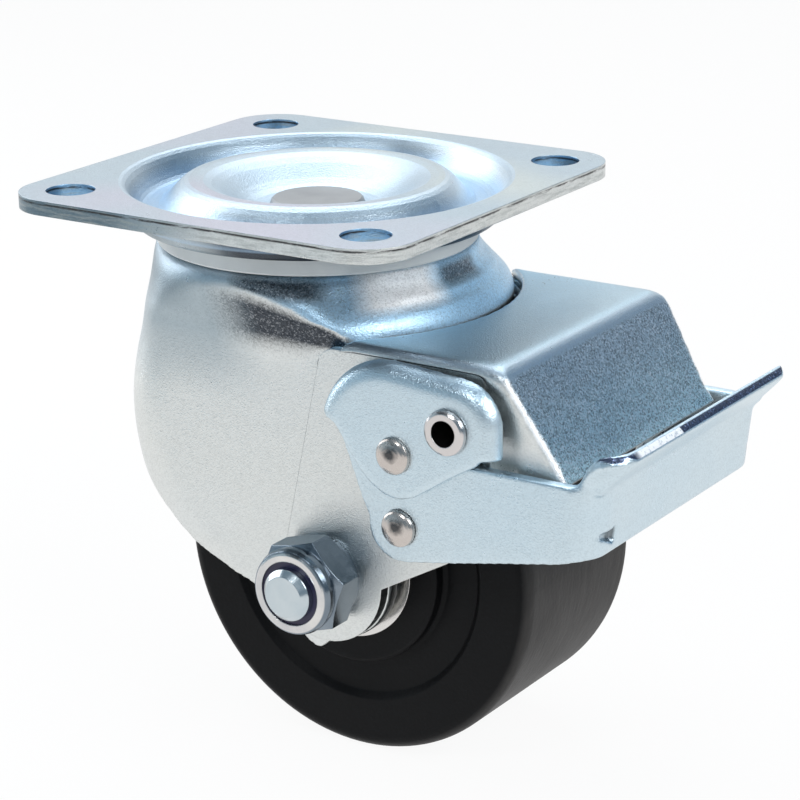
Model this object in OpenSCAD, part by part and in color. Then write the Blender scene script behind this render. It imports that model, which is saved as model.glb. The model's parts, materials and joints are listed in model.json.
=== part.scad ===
// Low-profile swivel castor with a foot brake. Millimetres.
// Origin: where the swivel axis meets the top face of the plate.
// +X points to the brake pedal, +Y along the wheel axle, +Z up; the near fork leg is at -Y.

/* [Top plate] */
// Plate size along X
plate_l = 103.6; // [100:0.2:112]
// Plate size along Y
plate_w = 103.6; // [100:0.2:112]
// Plate sheet thickness
plate_t = 3.4; // [3:0.1:4]
// Plate corner radius
plate_corner_r = 12; // [8:1:13]
// Mounting hole spacing both ways
hole_pitch = 80; // [78:0.5:84]
// Mounting hole diameter
hole_d = 11.3; // [9:0.1:12]
// Outer radius of the pressed ring groove
groove_r = 45.5; // [44:0.5:46.5]
// Depth of the pressed ring groove
groove_depth = 6; // [5:0.5:6.5]
// Radius of the raised crest inside the groove
crest_r = 29.5; // [28.5:0.5:30.5]
// Depth of the dished centre
dish_depth = 7; // [6:0.5:7.5]

/* [Swivel bearing] */
// Kingpin shank radius
kingpin_r = 6.5; // [5.5:0.1:7]
// Kingpin head radius
kingpin_head_r = 10.7; // [9.5:0.1:11.5]
// Kingpin head height over the dish
kingpin_head_h = 1.9; // [1.5:0.1:2.5]
// Upper ball diameter
upper_ball_d = 6.35; // [5.5:0.05:6.5]
// Upper ball circle radius
upper_ball_r = 27; // [25:0.5:28]
// Upper ball count
upper_ball_n = 24; // [18:1:24]
// Lower ball diameter
lower_ball_d = 6; // [5:0.1:6.2]
// Lower ball circle radius
lower_ball_r = 16; // [15:0.5:17]
// Lower ball count
lower_ball_n = 14; // [10:1:14]
// Outer radius of the dust seal
seal_r = 37.2; // [36.6:0.1:37.4]
// Thickness of the pressed races
race_t = 3; // [2.5:0.1:3.4]

/* [Wheel] */
// Swivel offset of the axle along X
wheel_x = 23.85; // [22:0.1:25]
// Height of the axle below the plate face
wheel_drop = 81.8; // [81:0.1:84]
// Wheel radius
wheel_r = 46.4; // [44:0.1:47.4]
// Wheel tread width
wheel_w = 47.2; // [42:0.2:47.6]
// Edge radius of the tread
tread_edge_r = 3; // [2:0.5:4]
// Hub boss radius
boss_r = 24; // [22:0.5:26]
// How far the hub boss stands out past each side of the tread
boss_step = 2.7; // [2.5:0.1:3]
// Radius inside the rim where the recess starts
rim_in_r = 33.2; // [32:0.2:36]
// Width across the recessed web
web_w = 44.4; // [36:0.4:45]

/* [Wheel bearings] */
// Bearing outside radius
bearing_r = 17.5; // [17:0.1:18]
// Bearing bore radius
bearing_bore_r = 7.5; // [7.2:0.1:8]
// Bearing width
bearing_w = 11; // [9:0.5:12]
// How far the bearing stands proud of the boss
bearing_proud = 0.3; // [0.2:0.1:0.6]

/* [Fork] */
// Fork sheet thickness
fork_t = 4; // [3.5:0.1:4]
// Side play between bearing and fork leg, filled by the sleeve
leg_gap = 1.9; // [1.6:0.1:2.2]
// Bend radius at the back of each leg
leg_bend_r = 18; // [16:0.5:19]
// Radius of the rear edge of the leg in the side view
lobe_r = 53.2; // [52.6:0.2:53.8]

/* [Axle] */
// Bolt shank radius
bolt_r = 6; // [5.5:0.1:6]
// Bolt hole clearance
bolt_clear = 0.15; // [0.1:0.05:0.3]
// Nut and bolt head width across flats
nut_af = 20; // [18:0.5:21]
// Nut height
nut_h = 11.5; // [10:0.5:12]
// Bolt head height
bolt_head_h = 7.5; // [6.5:0.5:8.5]
// Bolt end standing out of the nut
bolt_stick = 2.5; // [1.5:0.5:4]
// Washer thickness
washer_t = 1.5; // [1:0.1:2]
// Washer radius
washer_r = 9.9; // [9.4:0.1:10.4]

/* [Brake] */
// Side plate thickness
side_t = 3; // [2.5:0.1:3.2]
// Pedal sheet thickness
pedal_t = 3; // [2.5:0.1:3.2]
// Thin washer between side plate and pedal arm
pivot_gap = 0.5; // [0.4:0.1:0.8]
// Cover plate thickness
cover_t = 2.5; // [2:0.1:2.8]
// Gap between pedal arm and cover plate
cover_gap = 0.4; // [0.3:0.1:0.8]
// Pedal pivot X
pivot_x = 46.8; // [46.4:0.1:47.2]
// Pedal pivot depth below the plate face
pivot_drop = 64.9; // [64.5:0.1:65.3]
// Pivot rivet shank radius
pivot_r = 3.5; // [3:0.1:3.8]
// Running clearance at the pivots, radial
run_clear = 0.05; // [0.02:0.01:0.1]
// Cross tube X
tube_x = 60.9; // [60.5:0.1:61.3]
// Cross tube depth below the plate face
tube_drop = 39.7; // [39.4:0.1:40]
// Cross tube outer radius
tube_r = 4.2; // [3.8:0.1:4.4]
// Cross tube wall
tube_wall = 1.25; // [1:0.05:1.5]
// Guide rivet X
guide_x = 47.5; // [47:0.1:48]
// Guide rivet depth below the plate face
guide_drop = 47.3; // [47:0.1:47.8]
// Guide rivet shank radius
guide_r = 3.2; // [2.8:0.1:3.4]
// Rivet head radius
rivet_head_r = 4.15; // [4:0.05:4.6]
// Rivet head height
rivet_head_h = 2.1; // [1.6:0.1:2.6]
// Drive pin radius
drive_r = 2.5; // [2:0.1:2.8]
// Share of the pivot-to-tube distance where the drive pin sits
drive_share = 0.45; // [0.42:0.01:0.48]
// Pedal travel in degrees
pedal_travel = 12; // [10:0.5:12]
// Hood sheet thickness
hood_t = 2.6; // [2:0.1:2.8]
// Hood top depth below the plate face
hood_drop = 25.6; // [25.2:0.1:25.8]
// Side room between the side plate and the outside of the hood
hood_room = 1.8; // [1.6:0.1:2]
// Radius of the hood edge round the fork head
hood_arc_r = 47; // [46.5:0.1:48]
// Pedal front face X at its lower edge
pedal_front_x = 93.9; // [92:0.1:96]
// Pedal front plate height
pedal_h = 16.9; // [15:0.1:18]
// Pedal corner radius
pedal_corner_r = 7; // [5:0.5:8]
// Brake pad thickness
pad_t = 3.5; // [3:0.1:3.8]
// Free gap between pad and tread
pad_gap = 3.6; // [3.5:0.1:4.2]

/* [View] */
// Sub-part to show

/* [Hidden] */
$fn = 64;
eps = 0.01;

zinc = [0.74, 0.79, 0.83];
steel = [0.6, 0.62, 0.64];
ball_clear = 0.05;
ball_sink = 0.7;

// heights of the swivel bearing, from the plate down
floor_z = -groove_depth - plate_t;
race_low_z = floor_z - 1.6;
upper_ball_z = race_low_z - upper_ball_d/2 + ball_sink;
crown_z = upper_ball_z - upper_ball_d/2 + ball_sink;
crown_low_z = crown_z - fork_t;
lower_ball_z = crown_low_z - lower_ball_d/2 + ball_sink;
lower_race_z = lower_ball_z - lower_ball_d/2 + ball_sink;
lower_race_low_z = lower_race_z - race_t;
rim_z = floor_z - 4.6;

// layers across the axle, outwards from the middle
axle = [wheel_x, -wheel_drop];
boss_w = wheel_w + 2*boss_step;
bearing_face = boss_w/2 + bearing_proud;
leg_in = bearing_face + leg_gap;
leg_out = leg_in + fork_t;
side_out = leg_out + side_t;
hood_half = side_out + hood_room;
arm_in = side_out + pivot_gap;
arm_out = arm_in + pedal_t;
cover_in = arm_out + cover_gap;
cover_out = cover_in + cover_t;
nut_seat = side_out + washer_t;

// pins of the brake in the side view
pivot = [pivot_x, -pivot_drop];
tube = [tube_x, -tube_drop];
guide = [guide_x, -guide_drop];
drive = pivot + drive_share*(tube - pivot);
drive_len = norm(drive - pivot);
drive_dir = atan2(drive[1] - pivot[1], drive[0] - pivot[0]);
guide_len = norm(guide - pivot);
guide_dir = atan2(guide[1] - pivot[1], guide[0] - pivot[0]);
tube_dir = atan2(tube[1] - axle[1], tube[0] - axle[0]);

// round rear edge of the leg: centre and the angles where its bend starts and ends
lobe = [13.4, -52.7];
lobe_a0 = 142;
lobe_a1 = 245;
lobe_in = lobe_r - leg_bend_r;
leg_top = -28.7;

// a cosine ramp between two profile points
function ramp(a, b, n=8) = [for (i = [0:n]) [a[0] + (b[0] - a[0])*i/n, a[1] + (b[1] - a[1])*(1 - cos(180*i/n))/2]];

// 2D side view (X, Z) extruded from y0 to y1
module side(y0, y1) {
  translate([0, y1, 0])
    rotate([90, 0, 0])
      linear_extrude(y1 - y0)
        children();
}

// the same on both sides of the middle, from |y| = a to |y| = b
module both(a, b) {
  side(a, b) children();
  side(-b, -a) children();
}

// profile (radius, inward depth) turned about a line parallel to Y through c, from angle a0 to a1
module side_turn(c, y, a0, a1) {
  translate([c[0], y, c[1]])
    rotate([-90, 0, 0])
      rotate([0, 0, -a1])
        rotate_extrude(angle=a1 - a0)
          children();
}

// straight bar between two points of the side view
module bar2d(a, b, w) {
  translate(a)
    rotate(atan2(b[1] - a[1], b[0] - a[0]))
      translate([0, -w/2])
        square([norm(b - a), w]);
}

// curved slot in the side view
module arc_slot2d(c, r, a0, a1, w) {
  translate(c)
    intersection() {
      difference() {
        circle(r=r + w/2);
        circle(r=r - w/2);
      }
      polygon([[0, 0], 2*r*[cos(a0), sin(a0)], 2*r*[cos((a0 + a1)/2), sin((a0 + a1)/2)], 2*r*[cos(a1), sin(a1)]]);
    }
  translate(c + r*[cos(a0), sin(a0)]) circle(r=w/2);
  translate(c + r*[cos(a1), sin(a1)]) circle(r=w/2);
}

module ring_sector2d(c, r0, r1, a0, a1) {
  translate(c)
    intersection() {
      difference() {
        circle(r=r1);
        circle(r=r0);
      }
      polygon([[0, 0], 2*r1*[cos(a0), sin(a0)], 2*r1*[cos(a1), sin(a1)]]);
    }
}

module far_side() {
  mirror([0, 1, 0]) children();
}

// pin along Y at a side-view point
module cross_pin(c, y0, y1, r) {
  translate([c[0], y1, c[1]])
    rotate([90, 0, 0])
      cylinder(r=r, h=y1 - y0);
}

// profile (radius, distance along Y) turned about the line through c along Y, towards -Y
module near_turn(c, y) {
  translate([c[0], y, c[1]])
    rotate([90, 0, 0])
      rotate_extrude()
        children();
}

module top_plate() {
  color(zinc)
    difference() {
      union() {
        translate([0, 0, -plate_t])
          linear_extrude(plate_t)
            difference() {
              union() {
                square([plate_l - 2*plate_corner_r, plate_w], center=true);
                square([plate_l, plate_w - 2*plate_corner_r], center=true);
                for (i = [-1, 1], j = [-1, 1])
                  translate([i*(plate_l/2 - plate_corner_r), j*(plate_w/2 - plate_corner_r)])
                    circle(r=plate_corner_r);
              }
              circle(r=groove_r + 1.6);
              for (i = [-1, 1], j = [-1, 1])
                translate([i*hole_pitch/2, j*hole_pitch/2])
                  circle(d=hole_d);
            }
        rotate_extrude()
          polygon(concat(
            [[groove_r + 1.7, 0]],
            ramp([groove_r, 0], [groove_r - 6, -groove_depth]),
            ramp([groove_r - 8, -groove_depth], [crest_r, -0.2]),
            ramp([crest_r - 1.5, -0.2], [13, -dish_depth]),
            [[kingpin_r, -dish_depth]],
            [[kingpin_r, -dish_depth - plate_t]],
            ramp([12.4, -dish_depth - plate_t], [crest_r - 2.6, -plate_t - 0.4]),
            ramp([crest_r - 1.4, -plate_t - 0.4], [groove_r - 10.6, floor_z]),
            ramp([groove_r - 4.4, floor_z], [groove_r + 1.6, -plate_t]),
            [[groove_r + 1.7, -plate_t]]));
      }
    }
}

module kingpin() {
  color([0.62, 0.63, 0.63])
    rotate_extrude()
      polygon([
        [0, -dish_depth + kingpin_head_h],
        [kingpin_head_r - 0.5, -dish_depth + kingpin_head_h],
        [kingpin_head_r, -dish_depth + kingpin_head_h - 0.5],
        [kingpin_head_r + 0.5, -dish_depth],
        [kingpin_r, -dish_depth],
        [kingpin_r, lower_race_low_z],
        [kingpin_r + 3, lower_race_low_z],
        [kingpin_r + 2.6, lower_race_low_z - 1.4],
        [kingpin_r + 0.6, lower_race_low_z - 2.4],
        [0, lower_race_low_z - 2.4]]);
}

module upper_race() {
  color(steel)
    difference() {
      rotate_extrude()
        translate([upper_ball_r - 6.5, race_low_z])
          square([13, floor_z - race_low_z]);
      race_groove(upper_ball_r, upper_ball_z, upper_ball_d);
    }
}

module race_groove(r, z, d) {
  rotate_extrude()
    translate([r, z])
      circle(r=d/2 + ball_clear);
}

module ball_ring(r, z, d, n) {
  for (i = [0:n - 1])
    rotate([0, 0, (i + 0.5)*360/n])
      translate([r, 0, z])
        sphere(d=d, $fn=32);
}

module upper_balls() {
  color([0.7, 0.7, 0.72])
    ball_ring(upper_ball_r, upper_ball_z, upper_ball_d, upper_ball_n);
}

module lower_balls() {
  color([0.7, 0.7, 0.72])
    ball_ring(lower_ball_r, lower_ball_z, lower_ball_d, lower_ball_n);
}

module lower_race() {
  color(steel)
    difference() {
      rotate_extrude()
        polygon([
          [kingpin_r, lower_race_z],
          [lower_ball_r + 5.5, lower_race_z],
          [lower_ball_r + 6.5, lower_race_z - 1],
          [lower_ball_r + 6.5, lower_race_low_z],
          [kingpin_r, lower_race_low_z]]);
      race_groove(lower_ball_r, lower_ball_z, lower_ball_d);
    }
}

module dust_seal() {
  color([0.93, 0.91, 0.86])
    rotate_extrude()
      polygon([
        [33.8, rim_z],
        [seal_r - 0.3, rim_z],
        [seal_r, rim_z + 0.4],
        [seal_r - 0.3, floor_z - 1],
        [seal_r - 1, floor_z - 0.3],
        [35.2, floor_z - 0.3],
        [34.6, floor_z - 1.4],
        [33.8, rim_z + 1.2]]);
}

// round head of the fork: front and back domes, d = inset from the outside
module dome(front, d) {
  if (front)
    rotate_extrude()
      polygon(d == 0 ? [
        [0, rim_z],
        [37.3, rim_z],
        [37.7, rim_z - 1.5],
        [38.2, rim_z - 3.5],
        [39.6, rim_z - 4.8],
        [40.9, rim_z - 5.3],
        [41.9, rim_z - 7.2],
        [43.3, rim_z - 8],
        [44.8, rim_z - 10.2],
        [45.4, rim_z - 12],
        [45.4, rim_z - 16.3],
        [0, rim_z - 16.3]] : [
        [0, crown_low_z],
        [34.6, crown_low_z],
        [37.4, crown_low_z - 2.8],
        [39.4, crown_low_z - 4.6],
        [41.2, crown_low_z - 6.8],
        [41.4, crown_low_z - 12],
        [0, crown_low_z - 12]]);
  else
    rotate_extrude()
      polygon(d == 0 ? [
        [0, rim_z],
        [37.3, rim_z],
        [37.7, rim_z - 1.5],
        [38.2, rim_z - 3.5],
        [38.5, rim_z - 6],
        [39.3, rim_z - 10],
        [40.4, rim_z - 14],
        [41, rim_z - 17.5],
        [41.1, rim_z - 19],
        [0, rim_z - 19]] : [
        [0, crown_low_z],
        [34.1, crown_low_z],
        [35.3, crown_low_z - 4.6],
        [36.4, crown_low_z - 8.6],
        [37, crown_low_z - 12],
        [37.1, crown_low_z - 16],
        [0, crown_low_z - 16]]);
}

// how wide the head may be at each height: it narrows to the flat legs
module shoulder(d) {
  w = d == 0 ? [[38.4, 0], [38.4, rim_z - 3.6], [38, rim_z - 4.8], [leg_out + 0.6, leg_top + 0.3], [leg_out, leg_top - 1.4], [leg_out, -60]]
             : [[34.2, 0], [34.2, crown_low_z], [leg_in, leg_top], [leg_in, -60]];
  rotate([90, 0, 90])
    translate([0, 0, -60])
      linear_extrude(120)
        polygon(concat(w, [for (i = [len(w) - 1:-1:0]) [-w[i][0], w[i][1]]]));
}

module head_form(d) {
  intersection() {
    shoulder(d);
    union() {
      intersection() {
        dome(true, d);
        union() {
          translate([0, -60, -60]) cube([21, 120, 60]);
          translate([0, -60, rim_z - 14.3]) cube([60, 120, 20]);
        }
      }
      intersection() {
        dome(false, d);
        translate([-60, -60, -60]) cube([60, 120, 60]);
      }
    }
  }
}

// section of the bend round a leg: x from the lobe centre, y inwards
module bend_section() {
  difference() {
    intersection() {
      translate([lobe_in - 0.5, 0]) square([leg_bend_r + 0.5, leg_bend_r]);
      union() {
        translate([lobe_in, leg_bend_r]) circle(r=leg_bend_r);
        translate([lobe_in - 0.5, 0]) square([0.5 + eps, fork_t]);
      }
    }
    translate([lobe_in, leg_bend_r]) circle(r=leg_bend_r - fork_t);
    translate([lobe_in - 1, fork_t]) square([1 + eps, leg_bend_r]);
  }
}

// lower cut edge of a leg in the side view, from the rear to the tip below the axle
leg_edge = [[-44, -56], [-41, -60.5], [-38, -64.2], [-34.4, -68], [-29.8, -71.7], [-25.7, -74.9], [-22.3, -77.2], [-19.2, -79.8],
  [-16.2, -81.9], [-9.9, -85], [-4.2, -87.2], [1.4, -89]];

module leg2d() {
  difference() {
    union() {
      intersection() {
        translate(lobe) circle(r=lobe_in - 0.2);
        polygon([[-40, leg_top], [34, leg_top], [40, -34], [40, -100], [-40, -100]]);
      }
      polygon([
        [-2, -84.3], [-4.2, -87.2], [1.4, -89],
        [8, -92.7], [14, -97.4], [17.5, -100.2], [20.1, -101.4], [21.6, -100.5], [23.6, -98.7], [26, -97.4],
        axle, [16, -70]]);
      translate(axle) circle(r=16);
    }
    translate(axle) circle(r=bolt_r + bolt_clear);
  }
}

module fork_leg() {
  side(-leg_out, -leg_in) leg2d();
  difference() {
    side_turn(lobe, -leg_out, lobe_a0, lobe_a1) bend_section();
    side(-60, 0) polygon(concat(leg_edge, [[1.4, -120], [-60, -120], [-60, -56]]));
  }
}

module fork() {
  color(zinc)
    difference() {
      union() {
        difference() {
          head_form(0);
          head_form(fork_t);
          translate([0, 0, crown_z]) cylinder(r=33.2, h=20);
        }
        fork_leg();
        far_side() fork_leg();
      }
      translate([0, 0, -60]) cylinder(r=9.6, h=60);
      race_groove(upper_ball_r, upper_ball_z, upper_ball_d);
      race_groove(lower_ball_r, lower_ball_z, lower_ball_d);
    }
}

module side_plate2d() {
  difference() {
    union() {
      polygon([
        [28.2, -hood_drop - hood_t],
        [23.6, -33],
        [14.7, -72.8],
        [13, axle[1]],
        axle,
        axle + 15.6*[cos(-1), sin(-1)],
        [56.8, -72.4],
        [66, -66],
        [68, -60],
        [68, -hood_drop - hood_t]]);
      translate([28.2, -hood_drop - hood_t - 4.6]) circle(r=4.6);
      translate(axle)
        polygon(concat(
          [[0, 9], [-9.15, 9], [-10.85, 0], 15.6*[cos(225.94), sin(225.94)]],
          [for (a = [232:7:358]) 15.6*[cos(a), sin(a)]],
          [[15.6, 0]]));
    }
    translate(axle) circle(r=bolt_r + bolt_clear);
    translate(pivot) circle(r=pivot_r);
    translate(guide) circle(r=guide_r);
    translate(tube) circle(r=tube_r);
    arc_slot2d(pivot, drive_len, drive_dir - pedal_travel - 1, drive_dir + 1, 2*drive_r + 1.2);
  }
}

module side_plate_near() {
  color(zinc) side(-side_out, -leg_out) side_plate2d();
}

module side_plate_far() {
  color(zinc) side(leg_out, side_out) side_plate2d();
}

// hood side view: top, bend and sloping front, d = inset
hood_slope = 0.62;
hood_corner_x = 70.8;
module hood_form(d) {
  n = [1, hood_slope]/norm([1, hood_slope]);
  r = 5 - d;
  c = [hood_corner_x - (5 - 5*n[1])/n[0], -hood_drop - 5];
  foot = [hood_corner_x - d/n[0] + hood_slope*(52 - hood_drop), -52];
  side(-60, 60) polygon([[10, -hood_drop - d], [c[0], -hood_drop - d], c + r*n, foot, [10, -52]]);
  cross_pin(c, -60, 60, r + 0.01);
}

hood_low = [hood_half - 2.7, -46];
module hood_width(d) {
  lean = (hood_half - hood_low[0])/(-hood_low[1] - hood_drop);
  n = [1, -lean]/norm([1, lean]);
  c = [hood_half - (3.5 - 3.5*n[1])/n[0], -hood_drop - 3.5];
  r = 3.5 - d;
  t = c + r*n;
  k = [t[0] - lean*(t[1] - hood_low[1]), hood_low[1]];
  w = [[c[0], c[1] + r], t, k, [k[0], -60]];
  rotate([90, 0, 90]) {
    linear_extrude(120)
      polygon(concat(w, [for (i = [3:-1:0]) [-w[i][0], w[i][1]]]));
    for (s = [-1, 1])
      translate([s*c[0], c[1], 0]) cylinder(r=r + 0.01, h=120);
  }
}

// rounded cover: centres and radii of its two bends in the side view
cover_a = [45.3, -45.6];
cover_ra = 18.6;
cover_b = [62.5, -38.5];
cover_rb = 10.2;
cover_bend = 4.5;

module hood() {
  color(zinc)
    difference() {
      intersection() {
        hood_form(0);
        hood_width(0);
      }
      intersection() {
        hood_form(hood_t);
        hood_width(hood_t);
      }
      translate([0, 0, -60]) cylinder(r=hood_arc_r, h=60);
      translate([0, 0, -60 - hood_drop - hood_t]) translate([0, -60, 0]) cube([cover_b[0], 120, 60]);
      side(-60, 60)
        intersection() {
          union() {
            translate(cover_b) circle(r=cover_rb + 1);
            translate([cover_b[0] - 1, -60]) square([cover_rb + 2.2, 60 + cover_b[1]]);
          }
          translate([0, -60]) square([200, 60 - hood_drop - hood_t]);
        }
      translate([0, -60, -60]) cube([120, 120, 10]);
    }
}

// section of the cover's rim: x outwards from the bend centre, y inwards
module rim_section(r) {
  difference() {
    union() {
      intersection() {
        translate([r - cover_bend, 0]) square([cover_bend, cover_bend]);
        translate([r - cover_bend, cover_bend]) circle(r=cover_bend);
      }
      translate([r - cover_t, cover_bend]) square([cover_t, cover_out - hood_half - 0.3 - cover_bend + eps]);
    }
    translate([r - cover_bend, cover_bend]) circle(r=cover_bend - cover_t);
    translate([r - cover_bend - eps, cover_t]) square([eps + cover_bend - cover_t - 2, 8]);
  }
}

cover_tilt = 4.5;
cover_top = cover_b - cover_a;
module cover_half() {
  // flat face
  side(-cover_out, -cover_in)
    difference() {
      union() {
        intersection() {
          union() {
            translate(cover_a) circle(r=cover_ra - cover_bend);
            polygon([cover_a, cover_a + (cover_ra - cover_bend)*[sin(cover_tilt), cos(cover_tilt)], cover_b + (cover_rb - cover_bend)*[sin(cover_tilt), cos(cover_tilt)], cover_b]);
            translate(cover_b) circle(r=cover_rb - cover_bend);
            polygon([cover_a, cover_b, cover_b + [cover_rb - cover_bend, 0], [68.2, -46.2], [61.7, -50], [56, -53.8], [52, -56.4], [48.5, -57.4], [45, -57], [41.5, -55.1], [38.3, -52], [35.9, -48.6], [31.4, -41.9], [33.5, -38]]);
          }
          polygon([[31.4, -41.9], [20, -24.7], [90, -24.7], [90, -45.2], [70, -45.2], [61.7, -50], [56, -53.8], [52, -56.4], [48.5, -57.4], [45, -57], [41.5, -55.1], [38.3, -52], [35.9, -48.6]]);
        }
      }
      translate(guide) circle(r=guide_r);
      translate(tube) circle(r=tube_r);
    }
  // rolled rim: left bend, top, right bend, right side
  side_turn(cover_a, -cover_out, 90 - cover_tilt, 167) rim_section(cover_ra);
  translate([cover_b[0], -cover_out, cover_b[1]]) {
    rotate([0, -(90 - cover_tilt), 0])
      linear_extrude(norm(cover_top) - 0.8)
        rim_section(cover_rb);
  }
  side_turn(cover_b, -cover_out, 0, 90 - cover_tilt) rim_section(cover_rb);
  translate([cover_b[0], -cover_out, -45.2])
    linear_extrude(cover_b[1] + 45.2)
      rim_section(cover_rb);
}

module cover_plate_near() {
  color([0.68, 0.77, 0.84]) cover_half();
}

module cover_plate_far() {
  color([0.68, 0.77, 0.84]) far_side() cover_half();
}

module cross_tube() {
  color(steel)
    difference() {
      union() {
        cross_pin(tube, -cover_out, cover_out, tube_r);
        for (s = [0, 1])
          mirror([0, s, 0])
            near_turn(tube, -cover_out)
              polygon([[tube_r - tube_wall, 0], [tube_r + 0.7, 0], [tube_r + 0.9, 0.4], [tube_r + 0.7, 1.2], [tube_r + 0.1, 1.6], [tube_r - tube_wall, 1.6]]);
      }
      cross_pin(tube, -60, 60, tube_r - tube_wall);
    }
}

// domed rivet through the layers: outer head at y = a, inner head from b inwards
module domed_rivet(c, a, b, r) {
  near_turn(c, -a)
    polygon(concat([[0, 0], [rivet_head_r, 0], [rivet_head_r, 0.5]],
      [for (i = [1:6]) [rivet_head_r*cos(15*i), 0.5 + (rivet_head_h - 0.5)*sin(15*i)]]));
  cross_pin(c, -a, -b, r);
  near_turn(c, -b)
    polygon([[0, 0], [r + 1.1, 0], [r + 1.1, -0.8], [r, -1.6], [0, -1.6]]);
}

module guide_rivets() {
  color([0.66, 0.64, 0.62]) {
    domed_rivet(guide, cover_out, leg_out, guide_r);
    far_side() domed_rivet(guide, cover_out, leg_out, guide_r);
  }
}

module pivot_rivets() {
  color([0.66, 0.64, 0.62]) {
    domed_rivet(pivot, arm_out + 0.1, leg_out, pivot_r);
    far_side() domed_rivet(pivot, arm_out + 0.1, leg_out, pivot_r);
  }
}

module pivot_washers() {
  color(steel)
    both(side_out, arm_in - 0.05)
      difference() {
        translate(pivot) circle(r=6.4);
        translate(pivot) circle(r=pivot_r);
      }
}

module return_spring() {
  color(steel)
    for (s = [-1, 1]) {
      for (i = [0:4])
        translate([tube[0], s*(10 + 1.7*i), tube[1]])
          rotate([90, 0, 0])
            rotate_extrude()
              translate([tube_r + 1.2, 0])
                circle(r=0.85);
      side(s < 0 ? -17.65 : 16, s < 0 ? -16 : 17.65)
        translate([tube[0] + 0.8, tube[1] + 4.5])
          square([9, 1.6]);
    }
}

module axle_bolt() {
  color([0.72, 0.75, 0.78]) {
    near_turn(axle, 0)
      polygon([
        [0, -nut_seat - 1], [bolt_r, -nut_seat - 1], [bolt_r, nut_seat + nut_h + bolt_stick - 1.4],
        [bolt_r - 1.3, nut_seat + nut_h + bolt_stick], [0, nut_seat + nut_h + bolt_stick]]);
    translate([axle[0], nut_seat, axle[1]])
      rotate([-90, 0, 0])
        intersection() {
          cylinder(r=nut_af/sqrt(3), h=bolt_head_h, $fn=6);
          rotate_extrude()
            polygon([[0, 0], [nut_af, 0], [nut_af, bolt_head_h - 4.5], [nut_af/2 - 0.3, bolt_head_h], [0, bolt_head_h]]);
        }
  }
}

module axle_washers() {
  color(zinc)
    both(side_out, nut_seat)
      difference() {
        translate(axle) circle(r=washer_r);
        translate(axle) circle(r=bolt_r + bolt_clear);
      }
}

module lock_nut() {
  hex_h = nut_h*0.66;
  color([0.72, 0.75, 0.78])
    translate([axle[0], -nut_seat, axle[1]])
      rotate([90, 0, 0])
        difference() {
          union() {
            rotate([0, 0, 14])
              intersection() {
                cylinder(r=nut_af/sqrt(3), h=hex_h, $fn=6);
                rotate_extrude()
                  polygon([[0, 0], [nut_af/2, 0], [nut_af/2 + 1.6, 0.8], [nut_af/2 + 1.6, hex_h - 1], [nut_af/2 - 0.2, hex_h], [0, hex_h]]);
              }
            rotate_extrude()
              polygon([[0, hex_h - 0.1], [nut_af/2 - 0.4, hex_h - 0.1], [nut_af/2 - 0.1, hex_h + 1], [nut_af/2, nut_h - 1.6], [nut_af/2 - 0.4, nut_h - 0.5], [nut_af/2 - 1.2, nut_h], [0, nut_h]]);
          }
          translate([0, 0, -1]) cylinder(r=bolt_r, h=nut_h + 2);
          translate([0, 0, nut_h - 3]) cylinder(r=bolt_r + 1.45, h=4);
        }
}

module nut_insert() {
  color([0.13, 0.12, 0.25])
    side(-nut_seat - nut_h + 0.5, -nut_seat - nut_h + 3)
      difference() {
        translate(axle) circle(r=bolt_r + 1.45);
        translate(axle) circle(r=bolt_r);
      }
}

module axle_sleeve() {
  color(steel)
    side(-leg_in, leg_in)
      difference() {
        translate(axle) circle(r=bearing_bore_r);
        translate(axle) circle(r=bolt_r + bolt_clear);
      }
}

// bearing sizes from its bore and outside radius
bearing_pitch = (bearing_bore_r + bearing_r)/2;
bearing_ball = (bearing_r - bearing_bore_r)*0.6;
inner_ring_r = bearing_pitch - bearing_ball*0.37;
outer_ring_r = bearing_pitch + bearing_ball*0.37;
bearing_mid = bearing_face - bearing_w/2;

module bearing_ring(r0, r1) {
  for (s = [-1, 1])
    translate([axle[0], s*bearing_mid, axle[1]])
      rotate([90, 0, 0])
        rotate_extrude()
          difference() {
            translate([r0, -bearing_w/2]) square([r1 - r0, bearing_w]);
            translate([bearing_pitch, 0]) circle(r=bearing_ball/2 + ball_clear);
          }
}

module bearing_inner_rings() {
  color([0.7, 0.7, 0.68]) bearing_ring(bearing_bore_r, inner_ring_r);
}

module bearing_outer_rings() {
  color([0.7, 0.66, 0.62]) bearing_ring(outer_ring_r, bearing_r);
}

module bearing_balls() {
  color([0.75, 0.75, 0.76])
    for (s = [-1, 1], i = [0:6])
      translate([axle[0], s*bearing_mid, axle[1]])
        rotate([0, i*360/7, 0])
          translate([bearing_pitch, 0, 0])
            sphere(d=bearing_ball, $fn=32);
}

module bearing_shields() {
  color([0.75, 0.7, 0.5])
    for (s = [-1, 1])
      side(s < 0 ? -bearing_face + 0.5 : bearing_face - 1.1, s < 0 ? -bearing_face + 1.1 : bearing_face - 0.5)
        difference() {
          translate(axle) circle(r=outer_ring_r);
          translate(axle) circle(r=inner_ring_r + 0.35);
        }
}

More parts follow.
